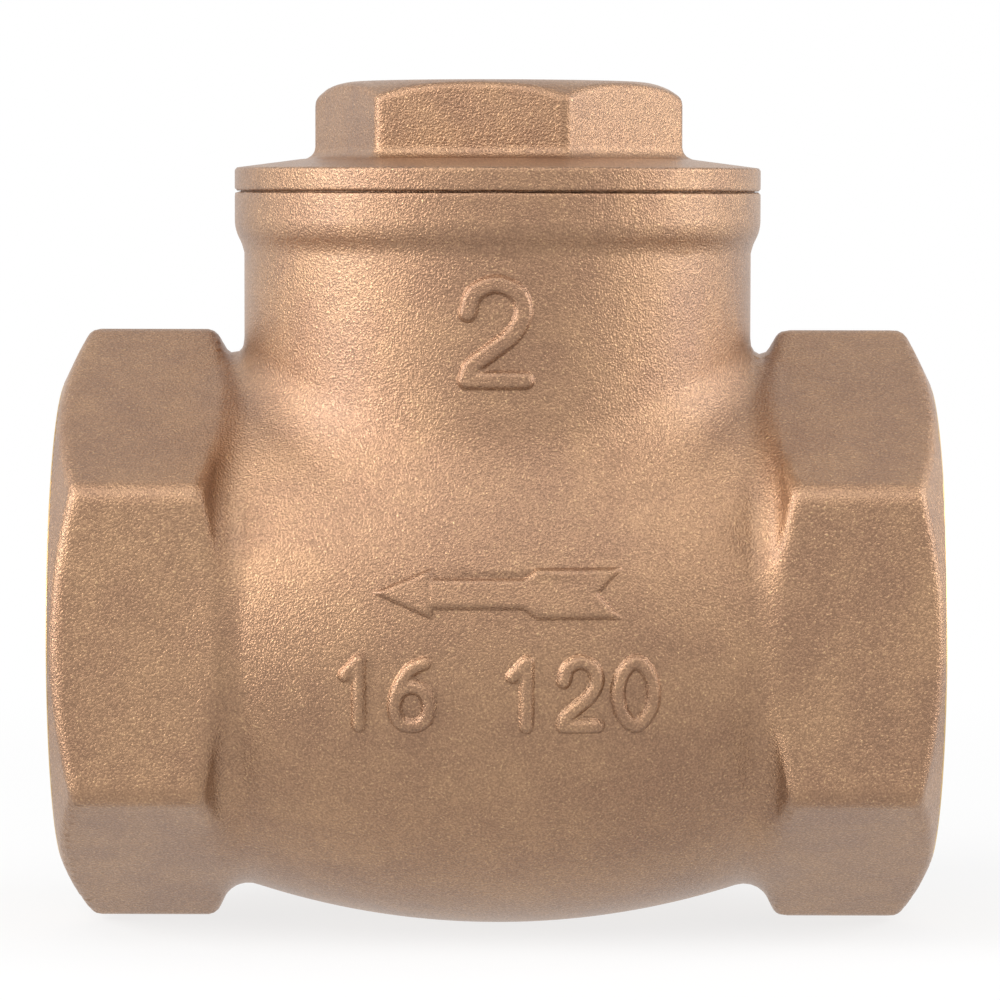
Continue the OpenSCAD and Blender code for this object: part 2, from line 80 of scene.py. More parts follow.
# The hinge plug's boss ends where the plug's washer begins, and its bore where the plug does
PLUG_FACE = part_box("plug_washer")[0][1] / MM
PLUG_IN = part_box("pin_plug")[0][1] / MM

# Sizes that repeat the part's source, in millimetres
HEX_HALF, HEX_EDGE, HEX_LEN, HEX_ANGLE = 35.1, 2.3, 20.0, 26.0
PORT_FACE_R, PORT_R, PORT_DEPTH, MOUTH_R, WAY_R = 33.0, 28.28, 20.0, 30.2, 26.5
BELLY_CURVE, WALL = 106.0, 3.6
NECK_R, NECK_BORE, FLARE_Z, FLARE_R = 34.3, 31.5, 36.0, 105.0
COLLAR_H, COLLAR_TAPER = 5.0, 2.6
CAP_HALF, CAP_EDGE, CAP_ANGLE, CAP_TURN = 22.0, 1.6, 32.0, 51.0
FLANGE_T, FLANGE_RISE, CAP_GAP, SKIRT_LEN, SKIRT_R = 3.0, 1.2, 0.3, 10.0, 30.9
SKIRT_WALL, CAP_WALL, GASKET_T, GASKET_BORE = 4.4, 5.0, 1.1, 33.4
SEAT_X, SEAT_TILT, SEAT_R, SEAT_RING_R, SEAT_RING_H = 23.0, 5.0, 23.0, 26.5, 2.5
ARM_LEN, PIN_OFF, LUG_IN, LUG_R, SHELF = 34.0, 1.5, 9.5, 6.0, 28.0
PIN_BORE, PLUG_BORE, PLUG_BOSS_R = 2.55, 5.05, 8.5
CHAMBER_SHARE, RUN_OUT, FUNNEL_OFF, THREAD_GAP = 0.76, 1.0, 3.0, 0.05

# How far the casting stays below the machined ring that covers it at the seat
SEAT_SKIN = 0.35
# How far the casting stays behind the turned face of each port
FACE_INSET = 0.12
# How much nearer the rims of collar and flange come to each other than the flat faces, and their round
RIM_SWELL, RIM_ROUND = 0.1, 0.4
COS_30, TAN_30 = math.cos(math.radians(30)), math.tan(math.radians(30))


# Sizes and colours a user may change

def length(name, text, default, low, high):
    return FloatProperty(name=name, description=text, default=default * MM, min=low * MM,
                         max=high * MM, unit="LENGTH", subtype="DISTANCE", precision=5)


def colour(name, text, default):
    return FloatVectorProperty(name=name, description=text, default=default, size=3, min=0, max=1,
                               subtype="COLOR")


class ValveSizes(PropertyGroup):
    """Sizes of the valve's cast and turned detail."""
    edge_round: length("Edge round", "Round of the cast edges of the hexagonal ends", 1.0, 0.3, 2)
    waist_fillet: length("Waist fillet", "Fillet between the belly and each end", 3.2, 1, 5)
    neck_blend: length("Neck blend", "How softly the neck runs into the belly", 3.5, 1, 6)
    cast_step: length("Casting mesh", "Mesh size of the casting", 1.04, 0.9, 3)
    cap_step: length("Cap mesh", "Mesh size of the cap", 0.62, 0.5, 2)
    mark_height: length("Mark height", "Height of the raised marks above the casting", 0.75, 0.3, 1.2)
    mark_step: length("Mark mesh", "Mesh size of the raised marks", 0.3, 0.2, 1)
    thread_pitch: length("Thread pitch", "Distance from one turn of the port thread to the next",
                         2.2087, 1, 4)
    thread_depth: length("Thread depth", "Depth of the port thread", 1.5, 0.5, 2)


class ValveColours(PropertyGroup):
    """Colours of the valve's materials."""
    cast_light: colour("Cast light", "Blasted casting where it is clean", (0.366, 0.215, 0.122))
    cast_dark: colour("Cast dark", "Blasted casting where it is dull", (0.300, 0.170, 0.101))
    # Painted glint: colour given to the brightest grains of the casting, as if they caught the light
    painted_glint: colour("Grain sparkle", "Bright grains of the blasted skin", (0.72, 0.50, 0.26))
    turned: colour("Turned brass", "Bare turned brass", (0.74, 0.53, 0.26))
    steel: colour("Steel", "Stainless steel", (0.56, 0.56, 0.57))
    copper: colour("Copper", "Annealed copper washer", (0.66, 0.30, 0.18))
    rubber: colour("Rubber", "Seal of the disc", (0.022, 0.022, 0.024))
    gasket: colour("Gasket", "White gasket under the cap", (0.74, 0.72, 0.66))
    floor: colour("Floor", "Floor of the studio", (0.86, 0.86, 0.86))


class ValveStudio(PropertyGroup):
    """Camera and lamps."""
    distance: length("Camera distance", "From the bonnet axis to the camera", 677, 300, 2000)
    height: length("Camera height", "Camera above the flow axis", 59.2, 0, 300)
    side: length("Camera offset", "Camera beside the bonnet axis", 0.4, -100, 100)
    pitch: FloatProperty(name="Pitch", description="How far the camera looks down",
                         default=math.radians(3.584), subtype="ANGLE", unit="ROTATION")
    roll: FloatProperty(name="Roll", description="Turn of the picture",
                        default=math.radians(0.12), subtype="ANGLE", unit="ROTATION")
    lens: FloatProperty(name="Lens", description="Focal length in millimetres", default=179.46,
                        min=20, max=400)
    left_power: FloatProperty(name="Left lamp", description="Power of the left lamp in watts",
                              default=7, min=0, max=100)
    right_power: FloatProperty(name="Right lamp", description="Power of the right lamp in watts",
                               default=4.6, min=0, max=100)
    top_power: FloatProperty(name="Top lamp", description="Power of the top lamp in watts",
                             default=3.6, min=0, max=100)
    world: FloatProperty(name="World", description="Strength of the light from all round",
                         default=0.45, min=0, max=2)


# Shapes as signed distances, in millimetres about the bonnet and flow axes

def round_min(a, b, r):
    """Union of two shapes with a fillet."""
    return np.maximum(np.minimum(a, b), r) - np.hypot(np.maximum(r - a, 0), np.maximum(r - b, 0))


def round_max(a, b, r):
    """What two shapes share, with the edge rounded."""
    return np.minimum(np.maximum(a, b), -r) + np.hypot(np.maximum(a + r, 0), np.maximum(b + r, 0))


def hexagon(u, v, half, edge):
    """Rounded hexagon with flats at v = half and corners along u."""
    side = half - edge
    reach = side * TAN_30
    u, v = np.abs(u), np.abs(v)
    turn = np.minimum(0.5 * v - COS_30 * u, 0)
    u, v = u + 2 * COS_30 * turn, v - turn
    u, v = u - np.clip(u, -reach, reach), v - side
    return np.hypot(u, v) * np.sign(v) - edge


def tilted(x, z):
    """Coordinates across and up the leaning seat."""
    a = math.radians(SEAT_TILT)
    return ((x - SEAT_X) * math.cos(a) - z * math.sin(a),
            (x - SEAT_X) * math.sin(a) + z * math.cos(a))


def end_shape(x, y, z, size):
    """Both hexagonal ends with their turned chamfers."""
    rho, out = np.hypot(y, z), np.abs(x)
    slope = math.tan(math.radians(HEX_ANGLE))
    lean = math.hypot(1, slope)
    corner = HEX_HALF / COS_30
    edge = size.edge_round / MM
    prism = hexagon(z, y, HEX_HALF, HEX_EDGE + edge)
    inner = (HALF_SPAN - HEX_LEN + (rho - corner) * slope - out) / lean
    outer = (out - HALF_SPAN + (rho - PORT_FACE_R) * slope) / lean
    face = out - HALF_SPAN + FACE_INSET
    solid = round_max(prism, np.maximum(outer, face), edge)
    return round_max(solid, inner, edge)


def neck_shape(x, y, z):
    """Neck with its flare, taper and collar."""
    edge, foot_z = 0.5, 12
    r = np.hypot(x, y)
    flare = FLARE_R - np.hypot(r - NECK_R - FLARE_R, z - FLARE_Z)
    tube = np.where(z < FLARE_Z, flare, r - NECK_R)
    collar_z = RIM_Z - COLLAR_H
    step = COLLAR_R - NECK_R
    cone = ((r - NECK_R) * COLLAR_TAPER - (z - collar_z + COLLAR_TAPER) * step) / math.hypot(
        COLLAR_TAPER, step)
    collar = round_max(r - COLLAR_R, np.maximum(cone, collar_z - COLLAR_TAPER - z), edge)
    solid = round_min(tube, collar, edge)
    return np.maximum(round_max(solid, z - RIM_Z - RIM_SWELL, RIM_ROUND), foot_z - z)


def outside(x, y, z, size):
    """The casting from outside, as if it were full."""
    into_hexagon, boss_edge, boss_fillet = 5, 0.5, 2
    rho = np.hypot(y, z)
    belly = np.hypot(x, rho - BELLY_R + BELLY_CURVE) - BELLY_CURVE
    belly = np.maximum(belly, np.abs(x) - HALF_SPAN + HEX_LEN - into_hexagon)
    solid = round_min(belly, neck_shape(x, y, z), size.neck_blend / MM)
    solid = round_min(solid, end_shape(x, y, z, size), size.waist_fillet / MM)
    across, up = tilted(x, z)
    boss = np.hypot(across + PIN_OFF, up - ARM_LEN) - PLUG_BOSS_R
    boss = round_max(boss, np.maximum(y - PLUG_FACE, -y), boss_edge)
    return round_min(solid, boss, boss_fillet)


def hollow(x, y, z):
    """Everything that is hollow in the casting."""
    neck_fillet, way_edge, lug_fillet = 1.2, 0.9, 1
    ring_half, web_half, web_extra = 2, 8, 0.5
    way_middle, way_half, throat_len, thread_room = 7, 8, 9, 2.6
    pin_end, pin_past, plug_past = -19, 1, 0.5
    rho, r = np.hypot(y, z), np.hypot(x, y)
    across, up = tilted(x, z)
    chamber_r = BELLY_R - WALL
    chamber_end = chamber_r * CHAMBER_SHARE
    end_r = chamber_r - BELLY_CURVE + math.sqrt(BELLY_CURVE ** 2 - chamber_end ** 2)
    thread_z = RIM_Z + CAP_GAP - SKIRT_LEN - RUN_OUT
    way_end = HALF_SPAN - PORT_DEPTH
    chamber = np.maximum(np.hypot(x, rho - chamber_r + BELLY_CURVE) - BELLY_CURVE, x - chamber_end)
    chamber = np.maximum(chamber, (rho - x - end_r - chamber_end) / math.sqrt(2))
    neck = np.maximum(r - NECK_BORE, np.maximum(z - thread_z, -z))
    space = round_min(chamber, neck, neck_fillet)
    wall = np.maximum(SEAT_RING_H - across, up - SHELF)
    ring = np.maximum(np.hypot(y, up) - SEAT_RING_R, np.abs(across - ring_half) - ring_half) + SEAT_SKIN
    lug = np.hypot(across + PIN_OFF, up - ARM_LEN) - LUG_R
    web = np.maximum(np.abs(across + PIN_OFF - web_half) - web_half,
                     np.abs(up - ARM_LEN) - LUG_R - web_extra)
    lug = np.maximum(np.minimum(lug, web), LUG_IN - np.abs(y))
    space = round_max(space, -round_min(np.minimum(wall, ring), lug, lug_fillet), lug_fillet)
    inlet = np.maximum(np.hypot(y, up) - SEAT_R - SEAT_SKIN, np.abs(across - way_middle) - way_half)
    funnel = np.maximum((rho + way_end - WAY_R - x - FUNNEL_OFF) / math.sqrt(2), rho - WAY_R)
    funnel = np.maximum(funnel, SEAT_X + throat_len - x)
    outlet = np.maximum(rho - WAY_R, np.maximum(x + chamber_end, -x - HALF_SPAN))
    ports = np.maximum(rho - PORT_R - thread_room, way_end - np.abs(x))
    thread = np.maximum(r - SKIRT_R - THREAD_GAP, thread_z - z)
    gasket = np.maximum(r - GASKET_BORE, RIM_Z + CAP_GAP - GASKET_T - z)
    pin = np.hypot(across + PIN_OFF, up - ARM_LEN)
    pin_bore = np.maximum(pin - PIN_BORE, np.maximum(pin_end - y, y - PLUG_IN - pin_past))
    plug_bore = np.maximum(pin - PLUG_BORE, PLUG_IN - plug_past - y)
    ways = round_min(np.minimum(funnel, outlet), ports, way_edge)
    for shape in (inlet, ways, thread, gasket, pin_bore, plug_bore):
        space = np.minimum(space, shape)
    return space


def cap_outside(x, y, z):
    """The cap's skirt, flange and hexagon."""
    overlap, chamfer_in, skirt_edge = 1, 0.4, 0.5
    crown, corner, fillet = 1.2, 0.7, 1.7
    r = np.hypot(x, y)
    a = math.radians(CAP_TURN)
    u, v = x * math.cos(a) + y * math.sin(a), y * math.cos(a) - x * math.sin(a)
    flange_z = RIM_Z + CAP_GAP
    hex_z = flange_z + FLANGE_T + FLANGE_RISE
    shelf = COLLAR_R - CAP_HALF / COS_30 - overlap
    cone = (z - flange_z - FLANGE_T) * shelf - (COLLAR_R - r) * FLANGE_RISE
    flange = np.maximum(cone / math.hypot(shelf, FLANGE_RISE), z - hex_z)
    flange = round_max(r - COLLAR_R, np.maximum(flange, flange_z - RIM_SWELL - z), RIM_ROUND)
    skirt = np.maximum(flange_z - SKIRT_LEN - z, z - flange_z - overlap)
    skirt = round_max(r - SKIRT_R, skirt, skirt_edge)
    slope = math.radians(CAP_ANGLE)
    chamfer = (z - CAP_TOP) * math.cos(slope) + (r - CAP_HALF + chamfer_in) * math.sin(slope)
    top = round_max(chamfer, z - CAP_TOP, crown)
    head = round_max(hexagon(u, v, CAP_HALF, CAP_EDGE), top, corner)
    head = np.maximum(head, flange_z + overlap - z)
    return np.minimum(round_min(head, flange, fillet), skirt)


def cap_hollow(x, y, z):
    """The turned hollow of the cap's skirt and its core in the hexagon."""
    gentle, core_edge = 0.5, 2
    r = np.hypot(x, y)
    flange_z = RIM_Z + CAP_GAP
    hex_z = flange_z + FLANGE_T + FLANGE_RISE
    bore, core = SKIRT_R - SKIRT_WALL, CAP_HALF - CAP_WALL
    cone = (r - bore) + (z - flange_z) * (bore - core) / (hex_z - flange_z)
    wide = np.maximum(np.maximum(r - bore, cone * gentle), z - hex_z)
    deep = round_max(r - core, z - CAP_TOP + CAP_WALL, core_edge)
    return np.minimum(wide, deep)


# From a shape to a mesh

def slopes(field, points, reach):
    """Gradient of a field at some points."""
    found = np.empty_like(points)
    for axis in range(3):
        shift = np.zeros(3)
        shift[axis] = reach
        ahead, behind = points + shift, points - shift
        found[:, axis] = (field(*ahead.T) - field(*behind.T)) / (2 * reach)
    return found


def settle(field, points, most):
    """Points moved onto the surface of a field."""
    rounds, reach, least_slope = 4, 0.02, 0.05
    for _ in range(rounds):
        rise = slopes(field, points, reach)
        steep = np.maximum((rise ** 2).sum(axis=1), least_slope)
        move = rise * (field(*points.T) / steep)[:, None]
        far = np.linalg.norm(move, axis=1, keepdims=True)
        points = points - move * np.minimum(1, most / np.maximum(far, TINY))
    return points


def grid_line(low, high, step, fine=()):
    """Places from low to high, a step apart, and closer inside the fine stretches."""
    line = [low - 2 * step]
    while line[-1] < high + 3 * step:
        near = [short for a, b, short in fine if a <= line[-1] < b]
        line.append(line[-1] + (near[0] if near else step))
    return np.array(line)


def skin(field, low, high, step, fine=()):
    """Closed mesh of quads where the field is zero, with a point in each cell that it crosses."""
    lines = [grid_line(a, b, step) for a, b in zip(low[:2], high[:2])]
    lines.append(grid_line(low[2], high[2], step, fine))
    values = field(*np.meshgrid(*lines, indexing="ij"))
    cells = tuple(n - 1 for n in values.shape)
    count = np.zeros(cells)
    total = np.zeros(cells + (3,))
    whole, quads = slice(None), []
    for axis in range(3):
        ahead = [whole] * 3
        behind = [whole] * 3
        ahead[axis], behind[axis] = slice(1, None), slice(None, -1)
        a, b = values[tuple(behind)], values[tuple(ahead)]
        cross = (a < 0) != (b < 0)
        share = np.where(cross, a / np.where(a == b, 1, a - b), 0)
        others = [n for n in range(3) if n != axis]
        for du in (0, 1):
            for dv in (0, 1):
                part = [whole] * 3
                for n, d in zip(others, (du, dv)):
                    part[n] = slice(d, cells[n] + d)
                hit, t = cross[tuple(part)], share[tuple(part)]
                count += hit
                total[..., axis] += np.where(hit, t, 0)
                for n, d in zip(others, (du, dv)):
                    total[..., n] += np.where(hit, d, 0)
    used = count > 0
    number = np.full(cells, -1)
    number[used] = np.arange(used.sum())
    base = np.argwhere(used)
    points = base + total[used] / count[used][:, None]
    for axis in range(3):
        u, v = (axis + 1) % 3, (axis + 2) % 3
        ahead = [whole] * 3
        behind = [whole] * 3
        ahead[axis], behind[axis] = slice(1, None), slice(None, -1)
        a, b = values[tuple(behind)], values[tuple(ahead)]
        where = np.argwhere((a < 0) != (b < 0))
        outward = a[tuple(where.T)] < 0
        ring = []
        for du, dv in ((1, 1), (0, 1), (0, 0), (1, 0)):
            cell = where.copy()
            cell[:, u] -= du
            cell[:, v] -= dv
            ring.append(number[tuple(cell.T)])
        ring = np.stack(ring, axis=1)
        ring[~outward] = ring[~outward][:, ::-1]
        quads.append(ring)
    places = [np.interp(points[:, n], np.arange(len(lines[n])), lines[n]) for n in range(3)]
    return np.stack(places, axis=1), np.concatenate(quads)


def to_object(name, points, faces, normals=None):
    """Object at the origin whose mesh holds these points, given in millimetres about the axes."""
    mesh = bpy.data.meshes.new(name)
    places = (points + [BONNET_X, 0, 0]) * MM
    mesh.from_pydata(places.tolist(), [], faces.tolist())
    mesh.polygons.foreach_set("use_smooth", np.ones(len(mesh.polygons), bool))
    mesh.validate()
    mesh.update()
    if normals is not None and len(mesh.vertices) == len(points):
        mesh.normals_split_custom_set_from_vertices(normals.tolist())
    piece = bpy.data.objects.new(name, mesh)
    bpy.context.collection.objects.link(piece)
    return piece


def cast(name, field, low, high, step, soft, fine=()):
    """Object made from the surface of a field, shaded with the field's own slopes."""
    points, faces = skin(field, low, high, step, fine)
    points = settle(field, points, step * 0.5)
    rise = slopes(field, points, soft)
    normals = rise / np.maximum(np.linalg.norm(rise, axis=1, keepdims=True), TINY)
    return to_object(name, points, faces, normals)


def seat_outline():
    """Closed outline of the seat's machined ring, as points across the seat and of its radius."""
    bevel, lip, reach = 0.2, 0.9, 5.5
    return [(bevel, SEAT_R), (0, SEAT_R + bevel), (0, SEAT_RING_R - bevel), (bevel, SEAT_RING_R),
            (SEAT_RING_H + bevel, SEAT_RING_R), (SEAT_RING_H + bevel, SEAT_R + lip),
            (reach, SEAT_R + lip), (reach, SEAT_R)]


def rim_outline():
    """Closed outline of the rim's land round the gasket, as heights and radii."""
    inset, depth = 0.8, 0.5
    low, high = RIM_Z - depth, RIM_Z + CAP_GAP
    return [(low, GASKET_BORE), (low, COLLAR_R - inset), (high, COLLAR_R - inset), (high, GASKET_BORE)]


def turned_ring(name, outline, middle_x, lean, segments=180):
    """Ring turned about an axis that leans from the flow axis, as an object."""
    a = math.radians(lean)
    across, radius = np.array(outline).T
    angle = np.arange(segments)[:, None] * math.tau / segments
    up, y = radius * np.cos(angle), radius * np.sin(angle)
    x = middle_x + across * math.cos(a) + up * math.sin(a)
    z = up * math.cos(a) - across * math.sin(a)
    points = np.stack([x, y, z], axis=-1).reshape(-1, 3)
    count = len(outline)
    here = np.arange(segments * count).reshape(segments, count)
    beside = np.roll(here, -1, axis=0)
    quads = np.stack([here, beside, np.roll(beside, -1, axis=1), np.roll(here, -1, axis=1)], axis=-1)
    piece = to_object(name, points, quads.reshape(-1, 4))
    face_out(piece)
    for face in piece.data.polygons:
        face.use_smooth = False
    return piece


# Raised marks

def smooth(points, closed=False, fine=8):
    """Curve through some points."""
    points = [Vector(p) for p in points]
    if closed:
        points = [points[-1]] + points + points[:2]
    else:
        points = [2 * points[0] - points[1]] + points + [2 * points[-1] - points[-2]]
    path = []
    for a, b, c, d in zip(points, points[1:], points[2:], points[3:]):
        for n in range(fine):
            t = n / fine
            path.append(0.5 * (2 * b + (c - a) * t + (2 * a - 5 * b + 4 * c - d) * t * t
                               + (3 * b - a - 3 * c + d) * t ** 3))
    path.append(points[-2])
    return [(p.x, p.y) for p in path]


# Middle lines of the plain digits, in a box one unit wide and one high
DIGITS = {
    "0": [smooth([(0.5, 1), (0.88, 0.8), (1, 0.5), (0.88, 0.2), (0.5, 0), (0.12, 0.2), (0, 0.5),
                  (0.12, 0.8)], closed=True)],
    "1": [[(0.2, 0.78), (0.58, 1), (0.58, 0)]],
    "2": [smooth([(0.05, 0.7), (0.16, 0.9), (0.5, 1), (0.86, 0.91), (0.97, 0.7), (0.8, 0.48),
                  (0.4, 0.28), (0.12, 0.14), (0.03, 0)]), [(0.03, 0), (1, 0)]],
    "6": [smooth([(0.86, 0.98), (0.45, 0.86), (0.13, 0.58), (0.02, 0.3), (0.15, 0.07), (0.5, 0),
                  (0.86, 0.08), (0.98, 0.3), (0.84, 0.53), (0.5, 0.61), (0.16, 0.52),
                  (0.03, 0.34)])],
}


def stroke_distance(x, z, line):
    """Distance to a line of straight pieces."""
    near = np.full(np.shape(x), np.inf)
    for (ax, az), (bx, bz) in zip(line, line[1:]):
        ux, uz = bx - ax, bz - az
        along = ((x - ax) * ux + (z - az) * uz) / max(ux * ux + uz * uz, TINY)
        along = np.clip(along, 0, 1)
        near = np.minimum(near, np.hypot(x - ax - along * ux, z - az - along * uz))
    return near


def digits_shape(text, left, bottom, wide, high, advance, stroke):
    """Signed distance of a row of digits drawn with one stroke width."""
    lines = []
    for place, digit in enumerate(text):
        for line in DIGITS.get(digit, []):
            lines.append([(left + place * advance + u * wide, bottom + v * high) for u, v in line])

    def shape(x, z):
        near = np.full(np.shape(x), np.inf)
        for line in lines:
            near = np.minimum(near, stroke_distance(x, z, line))
        return near - stroke / 2
    return shape


def arrow_shape(tip, head, feather, tail, notch, middle, head_half, shaft_half, tail_half):
    """Signed distance of a flow arrow that points to -X."""
    spread, steepness, overlap = 1.8, 0.7, 0.5

    def shape(x, z):
        z = np.abs(z - middle)
        slant = head_half / (head - tip)
        point = np.maximum((z - (x - tip) * slant) / math.hypot(1, slant), x - head)
        flare = (tail_half - shaft_half) / spread
        edge = np.clip(shaft_half + (x - feather) * flare, shaft_half, tail_half)
        cut = (x - notch - z * (tail - notch) / tail_half) * steepness
        shaft = np.maximum(np.maximum(z - edge, head - overlap - x), np.maximum(cut, x - tail))
        return np.minimum(point, shaft)
    return shape


def raise_mark(name, shape, low, high, size):
    """Mark that stands on the front of the casting, with soft flanks and its foot inside the metal."""
    start_y, rounds, pace = -60.0, 80, 0.9
    margin, flank, sink, root, reach = 0.7, 0.45, 0.2, 0.9, 0.3
    step, height = size.mark_step / MM, size.mark_height / MM
    lines = [np.arange(a, b + step, step) for a, b in zip(low, high)]
    x, z = np.meshgrid(*lines, indexing="ij")
    away = shape(x, z)
    keep = away < margin
    cells = keep[:-1, :-1] | keep[1:, :-1] | keep[:-1, 1:] | keep[1:, 1:]
    flat = np.arange(x.size).reshape(x.shape)
    quads = np.stack([flat[:-1, :-1][cells], flat[1:, :-1][cells], flat[1:, 1:][cells],
                      flat[:-1, 1:][cells]], axis=1)
    used, quads = np.unique(quads, return_inverse=True)
    quads = quads.reshape(-1, 4)
    x, z, away = x.ravel()[used], z.ravel()[used], away.ravel()[used]
    y = np.full(len(x), start_y)

    def field(px, py, pz):
        return outside(px, py, pz, size)
    for _ in range(rounds):
        y = y + np.maximum(field(x, y, z), 0) * pace
    points = np.stack([x, y, z], axis=1)
    rise = slopes(field, points, reach)
    rise /= np.linalg.norm(rise, axis=1, keepdims=True)
    swell = np.clip(flank - away, 0, 1)
    swell = swell * swell * (3 - 2 * swell)
    upper = points + rise * (swell * (height + sink) - sink)[:, None]
    lower = points - rise * root
    count = len(points)
    edges = np.concatenate([quads[:, [a, b]] for a, b in ((0, 1), (1, 2), (2, 3), (3, 0))])
    keys = {tuple(edge) for edge in edges.tolist()}
    rim = np.array([edge for edge in keys if edge[::-1] not in keys])
    sides = np.stack([rim[:, 1], rim[:, 0], rim[:, 0] + count, rim[:, 1] + count], axis=1)
    faces = np.concatenate([quads, quads[:, ::-1] + count, sides])
    return to_object(name, np.concatenate([upper, lower]), faces)


# Node trees

class Wire:
    """A socket that takes part in sums: each operator adds a Math node to its tree."""

    def __init__(self, tree, socket):
        self.tree, self.socket = tree, socket

    def maths(self, operation, *values):
        made = add_node(self.tree, "ShaderNodeMath", {"operation": operation},
                        {n: value for n, value in enumerate(values)})
        return Wire(self.tree, made.outputs[0])

    def __add__(self, other):
        return self.maths("ADD", self, other)

    def __radd__(self, other):
        return self.maths("ADD", other, self)

    def __sub__(self, other):
        return self.maths("SUBTRACT", self, other)

    def __mul__(self, other):
        return self.maths("MULTIPLY", self, other)

    def __truediv__(self, other):
        return self.maths("DIVIDE", self, other)

    def alone(self, operation):
        """A sum that takes this wire only, such as a root."""
        return self.maths(operation, self)

    def ramp(self, low, high):
        """0 up to low, 1 from high, and a soft step between."""
        made = add_node(self.tree, "ShaderNodeMapRange", {"interpolation_type": "SMOOTHSTEP"},
                        {"Value": self, "From Min": low, "From Max": high})
        return Wire(self.tree, made.outputs[0])


def add_node(tree, kind, settings=None, inputs=None):
    """A node with its settings, and the values or links of its sockets by name or number."""
    made = tree.nodes.new(kind)
    for key, value in (settings or {}).items():
        setattr(made, key, value)
    for key, value in (inputs or {}).items():
        socket = made.inputs[key]
        if isinstance(value, Wire):
            value = value.socket
        if isinstance(value, bpy.types.NodeSocket):
            tree.links.new(value, socket)
        else:
            socket.default_value = value
    return made


class Finish:
    """A material that is put together from wires on one Principled shader."""

    def __init__(self, name, **constants):
        self.material = bpy.data.materials.new(name)
        self.material.use_nodes = True
        self.tree = self.material.node_tree
        self.shader = self.tree.nodes["Principled BSDF"]
        for key, value in constants.items():
            self.shader.inputs[key.replace("_", " ")].default_value = value
        self.place = self.node("ShaderNodeTexCoord").outputs["Object"]

    def node(self, kind, settings=None, **inputs):
        return add_node(self.tree, kind, settings, inputs)

    def wire(self, socket):
        return Wire(self.tree, socket)

    def noise(self, scale, detail=2.0, rough=0.5, stretch=None):
        """Noise on Object coordinates, from about 0 to 1. The scale counts features to the metre."""
        place = self.place
        if stretch:
            mapping = self.node("ShaderNodeMapping", None, Vector=place)
            mapping.inputs["Scale"].default_value = stretch
            place = mapping.outputs[0]
        made = self.node("ShaderNodeTexNoise", None, Vector=place, Scale=scale, Detail=detail,
                         Roughness=rough)
        return self.wire(made.outputs["Fac"])

    def mix(self, factor, first, second):
        """A colour between two others."""
        made = self.node("ShaderNodeMix", {"data_type": "RGBA"})
        for socket, value in ((made.inputs[0], factor), (made.inputs[6], first),
                              (made.inputs[7], second)):
            if isinstance(value, Wire):
                value = value.socket
            if isinstance(value, bpy.types.NodeSocket):
                self.tree.links.new(value, socket)
            else:
                socket.default_value = value if isinstance(value, float) else (*value, 1)
        return made.outputs[2]

    def feed(self, **links):
        for key, value in links.items():
            socket = self.shader.inputs[key.replace("_", " ")]
            self.tree.links.new(getattr(value, "socket", value), socket)

    def bump(self, height, distance, strength=1.0):
        made = self.node("ShaderNodeBump", None, Height=height, Distance=distance,
                         Strength=strength)
        self.feed(Normal=made.outputs[0])


def shaded(tint, level):
    """A colour made darker or lighter."""
    return [part * level for part in tint]


def rings_about(finish, centre, axis, spacing):
    """Fine turning marks round an axis through a point, as a wave from 0 to 1."""
    mapping = finish.node("ShaderNodeMapping", {"vector_type": "TEXTURE"}, Vector=finish.place)
    mapping.inputs["Location"].default_value = centre
    turn = Vector((0, 0, 1)).rotation_difference(Vector(axis)).to_euler()
    mapping.inputs["Rotation"].default_value = turn
    split = finish.node("ShaderNodeSeparateXYZ", None, Vector=mapping.outputs[0])
    x, y, z = (finish.wire(socket) for socket in split.outputs)
    radius = (x * x + y * y).alone("SQRT")
    return ((radius + z) * (math.tau / spacing)).alone("SINE") * 0.5 + 0.5


def blasted_brass(colours):
    """Blasted brass casting: cloudy colour under a dense grain, darker in its hollows as painted shade,
    lighter on its tops as painted light, with painted glints on the brightest grains.
    """
    finish = Finish("blasted_brass", Metallic=0.88, Coat_Weight=0.3, Coat_Roughness=0.36)
    cloud = finish.noise(48, 3.0, 0.55)
    patch = finish.noise(190, 3.0, 0.6)
    grain = finish.noise(3600, 1.5, 0.6)
    swell = finish.noise(1500, 2.0, 0.6)
    tone = (cloud * 0.6 + patch * 0.4).ramp(0.32, 0.68)
    # Painted shade and light: the grain's hollows get darker copies of the casting colour and its tops
    # get lighter copies, in place of the shading of the bump
    painted_pit_shade, painted_peak_light = (finish.mix(tone, shaded(colours.cast_dark, dark), shaded(colours.cast_light, light))
                   for dark, light in ((0.82, 0.84), (1.16, 1.18)))
    rise = (grain * 0.8 + swell * 0.2).ramp(0.38, 0.62)
    shade = finish.mix(rise, painted_pit_shade, painted_peak_light)
    # Painted glint: the brightest grains are mixed towards the glint colour
    painted_glint_mask = grain.ramp(0.62, 0.78)
    feed = finish.mix(painted_glint_mask * 0.6, shade, colours.painted_glint[:])
    finish.feed(Base_Color=feed, Roughness=0.37 + patch * 0.10 - rise * 0.05)
    finish.bump(grain * 0.75 + swell * 0.25, 0.00042, 0.6)
    return finish.material


def turned_brass(name, colours, centre, axis, spacing=0.00035):
    """Bare turned brass with fine rings about an axis."""
    finish = Finish(name, Metallic=1.0)
    ring = rings_about(finish, centre, axis, spacing)
    cloud = finish.noise(120, 3.0, 0.6)
    shade = finish.mix(cloud.ramp(0.35, 0.7), shaded(colours.turned, 0.88), colours.turned[:])
    finish.feed(Base_Color=shade, Roughness=0.24 + cloud * 0.14 + ring * 0.05)
    finish.bump(ring, 0.00002, 0.7)
    return finish.material


